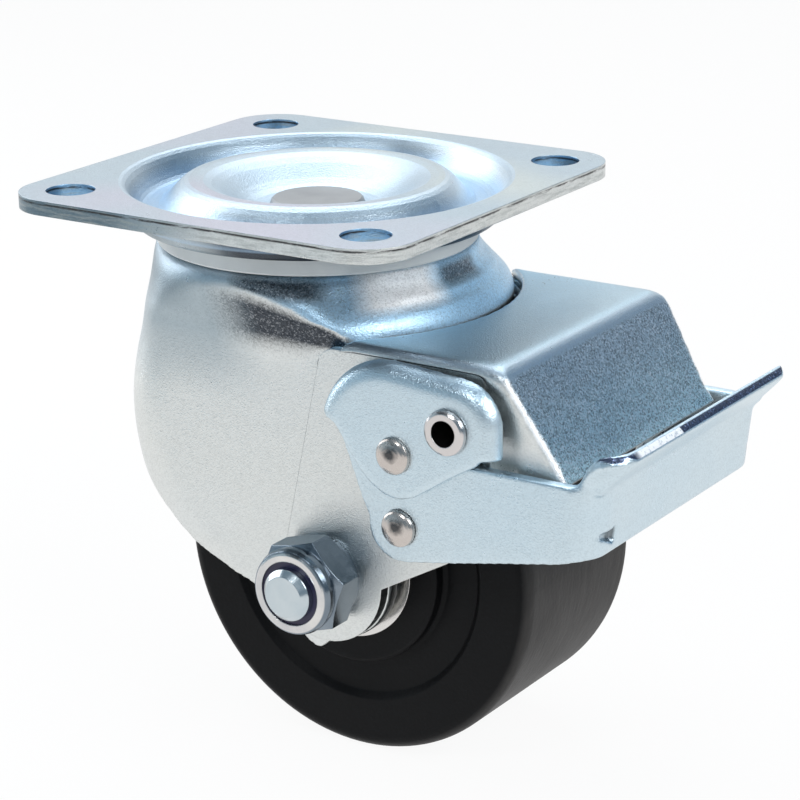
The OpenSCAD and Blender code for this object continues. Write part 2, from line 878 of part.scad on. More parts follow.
module wheel() {
  h = wheel_w/2;
  e = tread_edge_r;
  half = [
    [wheel_r - e, h],
    [rim_in_r + 0.8, h],
    [rim_in_r, h - 0.8],
    [rim_in_r - 0.6, web_w/2],
    [boss_r + 0.8, web_w/2],
    [boss_r, web_w/2 + 0.8],
    [boss_r, boss_w/2 - 0.8],
    [boss_r - 0.8, boss_w/2],
    [bearing_r, boss_w/2],
    [bearing_r, bearing_face - bearing_w],
    [bearing_r - 2, bearing_face - bearing_w]];
  color([0.1, 0.1, 0.1])
    translate([axle[0], 0, axle[1]])
      rotate([90, 0, 0])
        rotate_extrude() {
          polygon(concat(half, [for (i = [len(half) - 1:-1:0]) [half[i][0], -half[i][1]]]));
          translate([wheel_r - e - eps, -h + e]) square([e + eps, 2*h - 2*e]);
          for (s = [-1, 1])
            translate([wheel_r - e, s*(h - e)]) circle(r=e);
        }
}

pedal_tilt = 7;
module pedal_arm2d() {
  difference() {
    union() {
      polygon([
        pivot + [-7.8, 1], [37.2, -60.2], [32, -46.5], [36, -41.6], [51, -41.6], [56.5, -47.4], [65, -47.7],
        [88, -48], [88.5, -65.1], [84.5, -66], [72.3, -68.3], [59, -70.9], pivot + [1.4, -7.9]]);
      translate(pivot) circle(r=8);
    }
    translate(pivot) circle(r=pivot_r + run_clear);
    arc_slot2d(pivot, guide_len, guide_dir - 1, guide_dir + pedal_travel + 1, 2*guide_r + 0.7);
  }
}

module pedal() {
  c = pedal_corner_r;
  color(zinc)
    difference() {
      union() {
        side(-arm_out, -arm_in) pedal_arm2d();
        side(arm_in, arm_out) pedal_arm2d();
        // bent front, leaning outwards
        intersection() {
          translate([pedal_front_x, 0, -64.3])
            rotate([0, pedal_tilt, 0])
              translate([0, 0, -3])
                linear_extrude(pedal_h + 5)
                  difference() {
                    union() {
                      translate([-c, -arm_out + c]) square([c, 2*arm_out - 2*c]);
                      for (s = [-1, 1])
                        translate([-c, s*(arm_out - c)]) circle(r=c);
                    }
                    union() {
                      translate([-2*c - 1, -arm_in]) square([c + 1, 2*arm_in]);
                      translate([-c - 1, -arm_out + c]) square([c + 1 - pedal_t, 2*arm_out - 2*c]);
                      for (s = [-1, 1])
                        translate([-c, s*(arm_out - c)]) circle(r=c - pedal_t);
                    }
                    translate([-2*c - 2, -60]) square([c + 1.2, 120]);
                  }
          side(-60, 60) polygon([
            [80, -67.1], [84.5, -66.05], [87.5, -65.15], [91, -64.5], [94, -64.3], [99, -64.3],
            [99, -64.3 + pedal_h], [95, -64.3 + pedal_h], [91, -47.9], [80, -47.98]]);
        }
        // flared lip with rounded ends
        intersection() {
          side(-60, 60) polygon([[92.6, -49.3], [92.9, -47.3], [100.8, -39.1], [102.9, -41.1], [96.4, -47.8], [95.6, -49.4]]);
          translate([0, 0, -60]) linear_extrude(60) {
            translate([80, -arm_out + 5.9]) square([30, 2*arm_out - 11.8]);
            translate([80, -arm_out + 1.5]) square([18.4, 2*arm_out - 3]);
            for (s = [-1, 1])
              translate([98.4, s*(arm_out - 5.9)]) circle(r=4.4);
          }
        }
      }
      // pressed triangular notches near the front corners
      for (s = [-1, 1])
        translate([pedal_front_x, 0, -64.3])
          rotate([0, pedal_tilt, 0])
            rotate([90, 0, 90])
              translate([0, 0, -1.3])
                linear_extrude(2)
                  polygon([[s*37.2, 5.6], [s*28.4, 5.8], [s*29.2, 2.1]]);
      for (s = [-1, 1])
        translate([0, s*arm_in, 0])
          cross_pin(drive, s < 0 ? -2 : -1, s < 0 ? 1 : 2, drive_r);
    }
}

module drive_pins() {
  color(steel)
    for (s = [-1, 1])
      cross_pin(drive, s < 0 ? -arm_in - 2 : 25, s < 0 ? -25 : arm_in + 2, drive_r);
}

lever_in = leg_in - 3.5;
lever_out = leg_in - 1;
pad_r0 = wheel_r + pad_gap;
pad_r1 = pad_r0 + pad_t;
web_a0 = tube_dir + 6.8;
web_a1 = 70;

module brake_lever() {
  color(steel) {
    both(lever_in, lever_out)
      difference() {
        union() {
          translate(tube) circle(r=7);
          translate(drive) circle(r=5.4);
          bar2d(tube, drive, 9);
          ring_sector2d(axle, pad_r1 - 2, pad_r1 + 2, tube_dir, web_a1);
        }
        translate(tube) circle(r=tube_r + run_clear);
        bar2d(drive + 0.2*(tube - drive), drive - 0.6*(tube - drive), 2*drive_r + 0.6);
      }
    side(-lever_in - eps, lever_in + eps)
      ring_sector2d(axle, pad_r1, pad_r1 + 2, web_a0, web_a1);
  }
}

module brake_pad() {
  color([0.2, 0.2, 0.2])
    side(-21, 21)
      ring_sector2d(axle, pad_r0, pad_r1, web_a0 + 1, web_a1 - 1);
}

top_plate();
kingpin();
upper_race();
upper_balls();
lower_balls();
lower_race();
dust_seal();
fork();
side_plate_near();
side_plate_far();
hood();
cover_plate_near();
cover_plate_far();
cross_tube();
guide_rivets();
pivot_rivets();
pivot_washers();
return_spring();
axle_bolt();
axle_washers();
lock_nut();
nut_insert();
axle_sleeve();
bearing_inner_rings();
bearing_outer_rings();
bearing_balls();
bearing_shields();
wheel();
pedal();
drive_pins();
brake_lever();
brake_pad();
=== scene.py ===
"""Materials, light and camera for a low-profile swivel castor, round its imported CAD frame.

Origin: swivel axis at the plate's top face. +X towards the brake pedal, +Y along the axle, +Z up.
Sizes and places on the object are in mm and become metres by MM. The studio's are in metres.
"""
import json
import math

import bmesh
import bpy
import numpy as np
from mathutils import Matrix, Vector


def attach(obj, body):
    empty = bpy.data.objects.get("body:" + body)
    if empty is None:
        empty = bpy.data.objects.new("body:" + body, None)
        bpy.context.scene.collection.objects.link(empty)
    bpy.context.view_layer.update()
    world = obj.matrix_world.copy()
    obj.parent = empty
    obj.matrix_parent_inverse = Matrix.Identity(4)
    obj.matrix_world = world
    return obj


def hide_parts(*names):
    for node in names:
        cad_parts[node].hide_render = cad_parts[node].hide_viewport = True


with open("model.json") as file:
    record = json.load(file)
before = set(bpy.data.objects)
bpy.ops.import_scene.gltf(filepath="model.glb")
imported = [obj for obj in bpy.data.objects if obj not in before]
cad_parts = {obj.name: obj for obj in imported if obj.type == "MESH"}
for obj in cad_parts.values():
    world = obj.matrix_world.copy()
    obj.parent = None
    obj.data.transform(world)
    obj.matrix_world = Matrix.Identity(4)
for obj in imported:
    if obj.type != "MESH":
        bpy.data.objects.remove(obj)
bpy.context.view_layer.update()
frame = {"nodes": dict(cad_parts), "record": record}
nodes = frame["nodes"]

MM = 0.001

# Places on the object, in mm: x and z of the axle and of two rivets, and the plate holes' x and y.
AXLE_X, AXLE_Z = 23.85, -81.8
GUIDE_RIVET, PIVOT_RIVET = (47.8, -46.5), (47.1, -64.1)
HOLE_AT = 40.0
# The side plate's rear edge: its x at the plate's top face, and how far x grows with z.
SIDE_PLATE_REAR, SIDE_PLATE_SLANT = 30.98, 0.2236
# The pedal's front face: one point that it passes through, its lean, and its bend round the corners.
PEDAL_FRONT, PEDAL_FOOT, PEDAL_LEAN = 93.9, -64.3, math.radians(7.0)
PEDAL_CORNER_Y, PEDAL_CORNER_R = 31.7, 7.0

WHITE = (1.0, 1.0, 1.0)
# Tones of the materials. Painted light among them: the bluer top reflections, the shoulder's dark
# reflections, the bluish shade in the hole walls and ring groove, the reflections on the slope, dome and
# hood top, the side plate's shadow line and gap shade, the dome's dark reflections, the white glints, the
# lip's dark reflection and highlight streak, and the notch's shade.
TONE = {
    "sheet": (0.72, 0.745, 0.74),
    "sheet cloud": (0.74, 0.755, 0.735),
    "sheet top reflection": (0.52, 0.64, 0.74),
    "cover": (0.60, 0.72, 0.79),
    "cover cloud": (0.65, 0.75, 0.80),
    "cover top reflection": (0.62, 0.80, 0.93),
    "shoulder undercut": (0.06, 0.07, 0.085),
    "shoulder left": (0.30, 0.38, 0.43),
    "shoulder back": (0.13, 0.19, 0.23),
    "violet patch": (0.66, 0.60, 0.74),
    "duller plate": (0.87, 0.87, 0.85),
    "green patch": (0.70, 0.72, 0.62),
    "hole wall": (0.30, 0.52, 0.74),
    "ring groove": (0.42, 0.60, 0.80),
    "sheared edge": (0.40, 0.43, 0.42),
    "torn edge": (0.06, 0.06, 0.06),
    "slope foot": (0.76, 0.96, 1.0),
    "slope top": (0.62, 0.70, 0.76),
    "side plate shadow line": (0.12, 0.13, 0.13),
    "side plate gap shade": (0.05, 0.06, 0.065),
    "dome": (0.46, 0.74, 0.97),
    "dark_reflection": (0.10, 0.12, 0.14),
    "hood top rear": (0.42, 0.72, 0.93),
    "hood top front": (0.42, 0.56, 0.65),
    "white glint": (0.95, 0.97, 1.0),
    "lip navy": (0.12, 0.15, 0.24),
    "lip highlight streak": (0.35, 0.42, 0.50),
    "notch": (0.10, 0.11, 0.12),
}


def shade(colour, share):
    return tuple(c * share for c in colour)


def make_camera():
    """The photograph's viewing angle and framing."""
    azimuth, elevation, roll = (math.radians(v) for v in (33.11, 18.0, -0.69))
    distance, shift_right, shift_up = 634.1 * MM, -19.04 * MM, 51.71 * MM
    focal_pixels, photo_pixels = 2761.0, 800.0
    back = Vector((math.sin(azimuth) * math.cos(elevation),
                   -math.cos(azimuth) * math.cos(elevation),
                   math.sin(elevation)))
    right = Vector((math.cos(azimuth), math.sin(azimuth), 0.0))
    up = back.cross(right)
    right, up = (right * math.cos(roll) + up * math.sin(roll),
                 up * math.cos(roll) - right * math.sin(roll))
    data = bpy.data.cameras.new("camera")
    data.sensor_width = 36.0
    data.lens = focal_pixels / photo_pixels * data.sensor_width
    data.clip_start, data.clip_end = 0.01, 20.0
    camera = bpy.data.objects.new("camera", data)
    bpy.context.scene.collection.objects.link(camera)
    place = back * distance - right * shift_right - up * shift_up
    camera.matrix_world = Matrix.Translation(place) @ Matrix((right, up, back)).transposed().to_4x4()
    bpy.context.scene.camera = camera


class Nodes:
    """Short calls for building one material's node tree."""

    def __init__(self, name):
        self.material = bpy.data.materials.new(name)
        self.material.use_nodes = True
        self.tree = self.material.node_tree
        self.tree.nodes.clear()
        self.output = self.tree.nodes.new("ShaderNodeOutputMaterial")
        self.shader = self.tree.nodes.new("ShaderNodeBsdfPrincipled")
        self.link(self.shader.outputs["BSDF"], self.output.inputs["Surface"])
        self.coords = self.tree.nodes.new("ShaderNodeTexCoord").outputs["Object"]

    def link(self, a, b):
        self.tree.links.new(a, b)

    def put(self, socket, value):
        if isinstance(value, bpy.types.NodeSocket):
            self.link(value, socket)
        else:
            socket.default_value = value

    def noise(self, scale, detail=3.0, roughness=0.5, at=None):
        n = self.tree.nodes.new("ShaderNodeTexNoise")
        self.link(at or self.coords, n.inputs["Vector"])
        n.inputs["Scale"].default_value = scale
        n.inputs["Detail"].default_value = detail
        n.inputs["Roughness"].default_value = roughness
        return n.outputs["Fac"]

    def stretched(self, scale):
        n = self.tree.nodes.new("ShaderNodeMapping")
        self.link(self.coords, n.inputs["Vector"])
        n.inputs["Scale"].default_value = scale
        return n.outputs["Vector"]

    def cells(self, scale):
        n = self.tree.nodes.new("ShaderNodeTexVoronoi")
        self.link(self.coords, n.inputs["Vector"])
        n.inputs["Scale"].default_value = scale
        return n.outputs

    def ramp(self, fac, stops):
        n = self.tree.nodes.new("ShaderNodeValToRGB")
        self.link(fac, n.inputs["Fac"])
        while len(n.color_ramp.elements) < len(stops):
            n.color_ramp.elements.new(0.5)
        for element, (place, grey) in zip(n.color_ramp.elements, stops):
            element.position = place
            element.color = (grey, grey, grey, 1.0)
        return n.outputs["Color"]

    def span(self, value, low, high, to_low=0.0, to_high=1.0):
        """to_low at low, to_high at high, even between them and level beyond."""
        n = self.tree.nodes.new("ShaderNodeMapRange")
        self.put(n.inputs["Value"], value)
        for key, number in zip(("From Min", "From Max", "To Min", "To Max"), (low, high, to_low, to_high)):
            n.inputs[key].default_value = number
        return n.outputs["Result"]

    def sums(self, operation, a, b=0.0):
        n = self.tree.nodes.new("ShaderNodeMath")
        n.operation = operation
        self.put(n.inputs[0], a)
        self.put(n.inputs[1], b)
        return n.outputs[0]

    def joined(self, operation, values):
        whole, *rest = values
        for value in rest:
            whole = self.sums(operation, whole, value)
        return whole

    def product(self, *values):
        return self.joined("MULTIPLY", values)

    def total(self, *values):
        return self.joined("ADD", values)

    def largest(self, *values):
        return self.joined("MAXIMUM", values)

    def length(self, a, b):
        return self.sums("SQRT", self.total(self.product(a, a), self.product(b, b)))

    def from_line(self, x, z, at_x, at_z):
        """Distance from a line along Y, through at_x and at_z."""
        return self.length(self.sums("SUBTRACT", x, at_x), self.sums("SUBTRACT", z, at_z))

    def mix(self, fac, a, b, blend="MIX"):
        n = self.tree.nodes.new("ShaderNodeMix")
        n.data_type = "RGBA"
        n.blend_type = blend
        self.put(n.inputs["Factor"], fac)
        for socket, value in ((n.inputs[6], a), (n.inputs[7], b)):
            self.put(socket, (*value, 1.0) if isinstance(value, tuple) else value)
        return n.outputs[2]

    def times(self, a, b):
        return self.mix(1.0, a, b, "MULTIPLY")

    def parts(self, vector):
        n = self.tree.nodes.new("ShaderNodeSeparateXYZ")
        self.link(vector, n.inputs[0])
        return n.outputs

    def place(self):
        """x, y and z of the point on the object, in mm."""
        return [self.product(part, 1.0 / MM) for part in self.parts(self.coords)]

    def rounded(self, radius):
        """Normal with the edges rounded by a radius in mm."""
        n = self.tree.nodes.new("ShaderNodeBevel")
        n.samples = 6
        n.inputs["Radius"].default_value = radius * MM
        return n.outputs["Normal"]

    def bump(self, height, depth, normal, strength=1.0):
        """Normal with a relief, its depth in mm, laid over another normal."""
        n = self.tree.nodes.new("ShaderNodeBump")
        self.link(height, n.inputs["Height"])
        n.inputs["Distance"].default_value = depth * MM
        n.inputs["Strength"].default_value = strength
        self.link(normal, n.inputs["Normal"])
        return n.outputs["Normal"]

    def finish(self, **sockets):
        for key, value in sockets.items():
            self.put(self.shader.inputs[key.replace("_", " ")], value)
        return self.material

    def metal(self, base, clouds, smoothest, roughest, normal):
        """Bare metal, whose roughness follows the clouds."""
        roughness = self.span(clouds, 0.3, 0.7, smoothest, roughest)
        return self.finish(Base_Color=base, Metallic=1.0, Roughness=roughness, Normal=normal)


class Zinc(Nodes):
    """Bright zinc plating while it's being painted: base is the colour so far, laid tone over tone."""

    def __init__(self, name, colour, cloud):
        super().__init__(name)
        self.colour = colour
        self.clouds = self.noise(26.0, 4.0, 0.55)
        self.cloudy = self.span(self.clouds, 0.35, 0.65)
        self.grains = self.cells(3000.0)
        self.speck = self.parts(self.grains["Color"])[0]
        self.pits = self.noise(420.0, 5.0, 0.7)
        self.x, self.y, self.z = self.place()
        self.depth = self.sums("ABSOLUTE", self.y)
        self.radius = self.length(self.x, self.y)
        normal = self.parts(self.tree.nodes.new("ShaderNodeNewGeometry").outputs["Normal"])
        self.up = normal[2]
        self.out = self.sums("ABSOLUTE", normal[1])
        self.base = self.mix(self.cloudy, colour, cloud)

    def paint(self, mask, tone):
        self.base = self.mix(mask, self.base, tone)

    def facing(self, degrees):
        """1 where the point lies that way from the swivel axis, less round it."""
        turn = math.radians(degrees)
        ahead = self.total(self.product(self.x, math.cos(turn)), self.product(self.y, math.sin(turn)))
        return self.sums("DIVIDE", ahead, self.radius)

    def top_reflection(self, tone):
        """A bluer painted reflection on faces that look up."""
        self.paint(self.span(self.up, 0.1, 0.75), self.mix(self.cloudy, tone, shade(tone, 0.93)))

    def mild_specks(self):
        return self.times(self.base, self.ramp(self.speck, [(0.0, 0.90), (0.6, 0.99), (1.0, 1.0)]))

    def dark_pits(self):
        self.paint(self.span(self.pits, 0.68, 0.78, 0.0, 0.3), shade(self.colour, 0.62))

    def plated(self, metal):
        """The finished plating, with its fine grain and slow waves."""
        normal = self.bump(self.grains["Distance"], 0.05, self.rounded(0.35))
        normal = self.bump(self.noise(2600.0, 2.0, 0.6), 0.05, normal)
        normal = self.bump(self.noise(70.0, 2.0), 0.2, normal, 0.06)
        uneven = self.total(self.product(self.clouds, 0.5), self.product(self.pits, 0.5))
        return self.finish(Base_Color=self.base, Metallic=metal, Normal=normal,
                           Roughness=self.span(uneven, 0.3, 0.7, 0.25, 0.38))


def shoulder_tones(m):
    """Dark reflections under the fork's shoulder, on its left and behind it. Gives the undercut's place."""
    undercut = m.product(m.span(m.z, -33.5, -28.5), m.span(m.x, -8.0, 5.0))
    m.paint(m.product(m.span(m.up, 0.0, -0.34), undercut), TONE["shoulder undercut"])
    left = m.product(m.span(m.z, -46.0, -30.0), m.span(m.x, 8.0, -6.0))
    m.paint(m.product(left, m.span(m.up, 0.80, 0.50, 0.0, 0.8)), TONE["shoulder left"])
    back = m.product(m.span(m.z, -27.0, -20.0), m.span(m.x, -8.0, -20.0))
    m.paint(m.product(back, m.span(m.up, 0.90, 0.70, 0.0, 0.85)), TONE["shoulder back"])
    return undercut


def plate_top(m):
    """The plate's flat top: a little duller, with violet and greenish patches."""
    flat = m.product(m.span(m.up, 0.97, 0.995), m.span(m.z, -0.8, -0.4))
    hue = m.noise(11.0, 2.0)
    m.paint(m.product(flat, m.span(hue, 0.50, 0.64, 0.0, 0.55)), TONE["violet patch"])
    m.paint(flat, m.times(m.base, TONE["duller plate"]))
    m.paint(m.product(flat, m.span(hue, 0.46, 0.34, 0.0, 0.45)), TONE["green patch"])


def plate_hollows(m):
    """Painted bluish shade on the walls of the plate's four holes and in its ring groove."""
    across = m.sums("SUBTRACT", m.sums("ABSOLUTE", m.x), HOLE_AT)
    to_hole = m.length(across, m.sums("SUBTRACT", m.depth, HOLE_AT))
    wall = m.product(m.span(to_hole, 6.4, 6.0), m.span(m.up, 0.6, 0.3), m.span(m.z, -4.5, -4.0))
    m.paint(wall, TONE["hole wall"])
    ring = m.product(m.span(m.radius, 44.5, 43.0), m.span(m.radius, 30.0, 33.5))
    groove = m.product(ring, m.span(m.z, -2.2, -4.6), m.span(m.z, -7.5, -7.0))
    m.paint(m.product(groove, 0.75), TONE["ring groove"])


def plate_edge(m):
    """The plate's sheared edge: grey streaks, and a thin dark torn line below the top face."""
    streaks = m.noise(160.0, 5.0, 0.7, m.stretched((1.0, 1.0, 9.0)))
    sheared = m.product(m.span(m.up, 0.35, 0.15), m.span(m.z, -4.2, -4.0))
    m.paint(m.product(sheared, m.span(streaks, 0.45, 0.62, 0.0, 0.6)), TONE["sheared edge"])
    torn = m.product(m.span(m.z, -0.4, -0.6), m.span(m.z, -1.1, -0.8))
    m.paint(m.product(torn, sheared, m.span(streaks, 0.38, 0.5)), TONE["torn edge"])


def hood_slope(m):
    """The hood's sloping front with a painted reflection, paler at its foot. Gives its place."""
    slope = m.product(m.span(m.up, 0.35, 0.48), m.span(m.up, 0.62, 0.56), m.span(m.x, 68.0, 70.0))
    m.paint(slope, m.mix(m.span(m.z, -49.0, -32.0), TONE["slope foot"], TONE["slope top"]))
    return slope


def side_plate_tones(m):
    """Painted shade: a dark shadow line on the fork's leg along the side plate's slanting rear edge, and the
    fork tip's edge painted dark over the bearing as a shaded gap.
    """
    rear = m.total(SIDE_PLATE_REAR, m.product(m.z, SIDE_PLATE_SLANT))
    run = m.sums("SUBTRACT", m.x, rear)
    line = m.product(m.span(run, -1.1, -0.1), m.span(run, 0.1, 0.0), m.span(m.up, 0.3, 0.1),
                     m.span(m.z, -30.0, -31.0), m.span(m.z, -82.0, -80.0))
    m.paint(m.product(line, 0.7), TONE["side plate shadow line"])
    reach = m.from_line(m.x, m.z, AXLE_X, AXLE_Z)
    gap = m.product(m.span(reach, 15.0, 15.4), m.span(reach, 17.0, 16.6), m.span(m.out, 0.80, 0.60),
                    m.span(m.depth, 35.4, 35.2), m.span(m.x, 30.0, 32.0), m.span(m.z, -74.0, -76.0))
    m.paint(m.product(gap, 0.93), TONE["side plate gap shade"])


def head_tones(m):
    """The fork's domed head, painted as it reflects: a light blue painted reflection, dark painted
    reflections to two sides and one painted white highlight, the sheen. Gives their three places.
    """
    under_seal = m.span(m.radius, 47.5, 46.5)
    dome = m.product(under_seal, m.span(m.x, 4.0, 20.0), m.span(m.z, -13.5, -14.5),
                     m.span(m.z, -30.0, -29.0), m.span(m.up, 0.0, 0.15))
    # Painted reflection: the dome's light blue, brightened further by the lower metal share that zinc_sheet
    # gives it.
    m.paint(m.product(dome, m.span(m.clouds, 0.3, 0.6, 0.65, 0.95)), TONE["dome"])
    sheen = m.product(m.span(m.facing(-28.0), 0.950, 0.985), m.span(m.z, -22.5, -20.5), dome)
    sides = m.largest(m.span(m.facing(-70.0), 0.945, 0.980), m.span(m.facing(0.0), 0.975, 0.992))
    dark_reflection = m.product(sides, m.span(m.z, -20.0, -18.0), m.span(m.z, -14.0, -16.0),
                       m.span(m.up, 0.05, 0.2), under_seal)
    m.paint(m.product(dark_reflection, 0.85), TONE["dark_reflection"])
    m.paint(sheen, WHITE)
    return dome, sheen, dark_reflection


def hood_top(m):
    """The hood's top with a painted reflection, bluer at its rear, and painted white highlights on its front
    bends. Gives the places of rear and bends.
    """
    beside = m.largest(m.span(m.x, 31.0, 33.0), m.span(m.depth, 34.5, 33.5))
    lid = m.product(m.span(m.up, 0.90, 0.97), m.span(m.z, -25.0, -25.3), beside)
    bend = m.product(m.span(m.out, 0.12, 0.30), m.span(m.out, 0.96, 0.88),
                     m.span(m.x, 70.0, 71.5), m.span(m.z, -27.5, -29.0))
    m.paint(bend, WHITE)
    m.paint(lid, m.mix(m.span(m.x, 30.0, 66.0), TONE["hood top rear"], TONE["hood top front"]))
    return m.product(lid, m.span(m.x, 66.0, 40.0)), bend


def sheet_specks(m, slope, undercut, dark_reflection, dome):
    """Strong dark specks and painted white glints on the slope, the undercut, the dark painted reflections
    and the dome; mild dark specks elsewhere.
    """
    strong = m.times(m.base, m.ramp(m.speck, [(0.0, 0.34), (0.5, 0.86), (0.8, 1.0)]))
    white = m.total(0.22, m.product(slope, 0.6))
    strong = m.mix(m.product(white, m.span(m.speck, 0.76, 1.0)), strong, TONE["white glint"])
    under = m.product(undercut, m.span(m.up, 0.05, -0.2), m.span(m.z, -15.0, -17.0))
    where = m.largest(slope, m.product(under, 0.8), dark_reflection, m.product(dome, 0.3))
    m.base = m.mix(where, m.mild_specks(), strong)


def zinc_sheet():
    """Plating of the plate, fork, side plates and hood, with the tones that the photo shows on each."""
    # Many tones painted here are painted light: reflections, highlights, glints and shade.
    m = Zinc("zinc_sheet", TONE["sheet"], TONE["sheet cloud"])
    undercut = shoulder_tones(m)
    m.top_reflection(TONE["sheet top reflection"])
    plate_top(m)
    plate_hollows(m)
    plate_edge(m)
    slope = hood_slope(m)
    side_plate_tones(m)
    dome, sheen, dark_reflection = head_tones(m)
    rear, bend = hood_top(m)
    sheet_specks(m, slope, undercut, dark_reflection, dome)
    m.dark_pits()
    # The painted reflections and highlights on the dome, sheen, hood top rear and front bends are made less
    # metallic, so the lamps light them brighter.
    matt = m.total(m.product(dome, 0.5), m.product(sheen, 0.45), m.product(rear, 0.6), m.product(bend, 0.7))
    return m.plated(m.sums("SUBTRACT", 1.0, matt))


def lip_edge(m):
    """The cut edge of the pedal's flared lip, painted as it reflects: a navy painted dark reflection, with a
    painted white highlight, streaked grey, along a middle stretch. Gives that stretch.
    """
    cut = m.product(m.span(m.up, 0.50, 0.58), m.span(m.up, 0.90, 0.82),
                    m.span(m.z, -47.5, -46.5), m.span(m.x, 94.5, 95.5))
    navy = m.times(TONE["lip navy"], m.ramp(m.speck, [(0.0, 0.4), (0.7, 1.0), (0.9, 1.0), (1.0, 3.0)]))
    bright = m.mix(m.span(m.noise(900.0, 3.0, 0.6), 0.55, 0.65, 0.0, 0.6), WHITE, TONE["lip highlight streak"])
    middle = m.product(m.span(m.y, -34.5, -32.0), m.span(m.y, -13.6, -14.0))
    m.paint(cut, m.mix(middle, navy, bright))
    return m.product(cut, middle)


def notch_shadow(m):
    """Dark inner faces of the pedal's near notch, between the front sheet's two faces."""
    ahead = m.product(m.sums("SUBTRACT", m.x, PEDAL_FRONT), math.cos(PEDAL_LEAN))
    above = m.product(m.sums("SUBTRACT", m.z, PEDAL_FOOT), math.sin(PEDAL_LEAN))
    sunk = m.sums("SUBTRACT", ahead, above)
    notch = m.product(m.span(sunk, -0.2, -0.7), m.span(sunk, -2.0, -1.6), m.span(m.y, -33.0, -31.0),
                      m.span(m.z, -56.0, -57.0), m.span(m.y, -34.5, -28.5, 0.0, 0.9))
    m.paint(notch, TONE["notch"])


def zinc_cover():
    """Bluer plating of the cover plates and the pedal."""
    m = Zinc("zinc_cover", TONE["cover"], TONE["cover cloud"])
    m.top_reflection(TONE["cover top reflection"])
    m.base = m.mild_specks()
    m.dark_pits()
    worn_and_highlit = lip_edge(m)
    notch_shadow(m)
    # The lip's painted highlight is made less metallic, so the lamps light it brighter.
    return m.plated(m.sums("SUBTRACT", 1.0, m.product(worn_and_highlit, 0.8)))


def fastener():
    """Zinc on the bolt, nut and washers: dark blue facets, which are a painted dark reflection, a pale
    collar, a light bolt end.

    The cross tube wears it too, and is light all over.
    """
    m = Nodes("zinc_fastener")
    x, _, z = m.place()
    radius = m.from_line(x, z, AXLE_X, AXLE_Z)
    clouds = m.noise(120.0)
    # The facets' dark blue stands in for their dark reflection: painted reflection.
    facets = m.mix(m.span(clouds, 0.35, 0.65), (0.17, 0.21, 0.25), (0.25, 0.29, 0.33))
    collar = m.mix(m.span(clouds, 0.35, 0.65), (0.70, 0.69, 0.67), (0.56, 0.56, 0.57))
    end = m.mix(m.span(clouds, 0.4, 0.6), (0.50, 0.57, 0.61), (0.56, 0.62, 0.65))
    base = m.mix(m.span(radius, 9.1, 9.4), collar, facets)
    base = m.mix(m.span(radius, 6.3, 6.1), base, end)
    tube = (0.64, 0.61, 0.60)
    base = m.mix(m.span(x, 46.0, 50.0), base, tube)
    normal = m.bump(m.noise(900.0), 0.02, m.rounded(0.35))
    return m.metal(base, clouds, 0.14, 0.26, normal)


def bearing_steel():
    """Bearing rings and shields: dark inner parts, two brass-tinted rims and a pinkish outer ring.

    Other plain steel, further from the axle, is grey.
    """
    m = Nodes("plain_steel")
    x, _, z = m.place()
    radius = m.from_line(x, z, AXLE_X, AXLE_Z)
    clouds = m.noise(90.0)
    dark = m.mix(clouds, (0.05, 0.05, 0.05), (0.10, 0.10, 0.10))
    brass = m.mix(m.span(m.noise(260.0, 1.0), 0.36, 0.40), (0.03, 0.03, 0.03), (0.62, 0.55, 0.33))
    outer = m.mix(clouds, (0.40, 0.37, 0.35), (0.46, 0.43, 0.41))
    grey = m.mix(clouds, (0.45, 0.46, 0.47), (0.55, 0.56, 0.57))
    blur, base = 0.1, dark
    for start, tone in ((14.1, brass), (15.2, dark), (15.7, brass), (16.2, outer)):
        base = m.mix(m.span(radius, start, start + blur), base, tone)
    base = m.mix(m.span(radius, 18.2, 18.4), base, grey)
    normal = m.bump(m.noise(1800.0, 2.0), 0.02, m.rounded(0.2))
    return m.metal(base, clouds, 0.36, 0.46, normal)


def rivet():
    """Domed rivet heads: warm silver, with a painted dark reflection towards the middle of each."""
    m = Nodes("rivet_steel")
    x, _, z = m.place()
    near = m.sums("MINIMUM", *(m.from_line(x, z, *middle) for middle in (GUIDE_RIVET, PIVOT_RIVET)))
    near = m.total(near, m.product(m.noise(700.0), 1.6))
    clouds = m.noise(400.0)
    silver = m.mix(clouds, (0.50, 0.45, 0.42), (0.66, 0.61, 0.57))
    # The painted dark reflection in the middle of each head.
    patch = (0.04, 0.045, 0.05)
    base = m.mix(m.span(near, 3.0, 1.6, 0.0, 0.92), silver, patch)
    normal = m.bump(m.noise(900.0), 0.03, m.rounded(0.2))
    return m.metal(base, clouds, 0.2, 0.32, normal)


def steel(name, colour, rough, grain):
    """Machined or drawn steel. The grain's depth is in mm."""
    m = Nodes(name)
    clouds = m.noise(90.0)
    base = m.mix(m.span(clouds, 0.3, 0.7, 0.0, 0.5), colour, shade(colour, 0.8))
    normal = m.bump(m.noise(1800.0, 2.0), grain, m.rounded(0.2))
    return m.metal(base, clouds, rough - 0.05, rough + 0.1, normal)


def plastic(name, colour, rough):
    m = Nodes(name)
    clouds = m.noise(60.0, 4.0)
    base = m.mix(m.span(clouds, 0.3, 0.7), colour, shade(colour, 0.86))
    normal = m.bump(m.noise(1400.0), 0.04, m.rounded(0.3))
    roughness = m.span(clouds, 0.2, 0.8, rough - 0.05, rough + 0.08)
    return m.finish(Base_Color=base, Roughness=roughness, Normal=normal)


